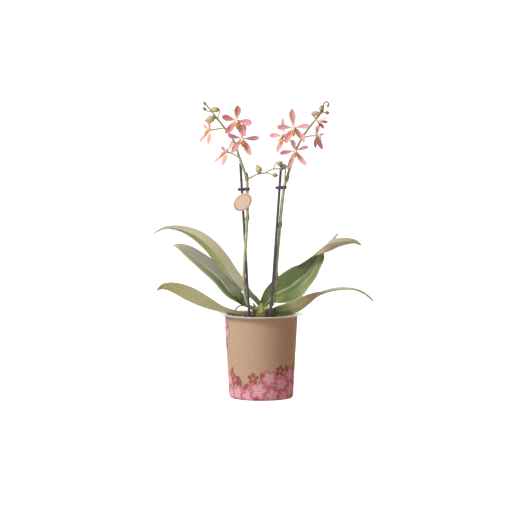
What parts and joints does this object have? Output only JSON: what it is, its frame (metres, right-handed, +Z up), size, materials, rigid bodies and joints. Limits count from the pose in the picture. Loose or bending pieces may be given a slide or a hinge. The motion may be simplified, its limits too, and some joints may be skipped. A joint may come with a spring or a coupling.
{
  "type": "moth orchid in pot",
  "caption": "Small moth orchid with arching leaves and branched spikes of star-shaped pink blooms, staked in a clear grower's pot inside a tapered kraft paper cover pot.",
  "frame": {"origin": "centre of the cover pot's underside, on the surface that it stands on", "axes": "+Z up, along the pot's axis; the plant's front, with most blooms, faces -Y; +X is to the right"},
  "size_m": [0.265, 0.1016, 0.3561],
  "materials": {
    "kraft_paper": "matte",
    "pot_plastic": "satin",
    "bark": "matte",
    "crown": "satin",
    "leaf": "satin",
    "stake_plastic": "satin",
    "spike": "satin",
    "tag_card": "matte",
    "tepal": "matte",
    "lip": "satin"
  },
  "bodies": {
    "root": {"cover_pot": "kraft_paper", "grower_pot": "pot_plastic", "bark_mix": "bark", "crown": "crown", "leaf_left_top": "leaf", "leaf_left_middle": "leaf", "leaf_left_bottom": "leaf", "leaf_right_top": "leaf", "leaf_right_back": "leaf", "leaf_right_bottom": "leaf", "stake_left": "stake_plastic", "stake_right": "stake_plastic", "spike_left": "spike", "spike_right": "spike", "clip_left": "stake_plastic", "clip_right": "stake_plastic", "tag": "tag_card", "bloom_left_1_tepals": "tepal", "bloom_left_1_lip": "lip", "bloom_left_2_tepals": "tepal", "bloom_left_2_lip": "lip", "bloom_left_3_tepals": "tepal", "bloom_left_3_lip": "lip", "bloom_left_4_tepals": "tepal", "bloom_left_4_lip": "lip", "bloom_right_1_tepals": "tepal", "bloom_right_1_lip": "lip", "bloom_right_2_tepals": "tepal", "bloom_right_2_lip": "lip", "bloom_right_3_tepals": "tepal", "bloom_right_3_lip": "lip", "bloom_right_4_tepals": "tepal", "bloom_right_4_lip": "lip", "bloom_right_5_tepals": "tepal", "bloom_right_5_lip": "lip"}
  },
  "joints": []
}
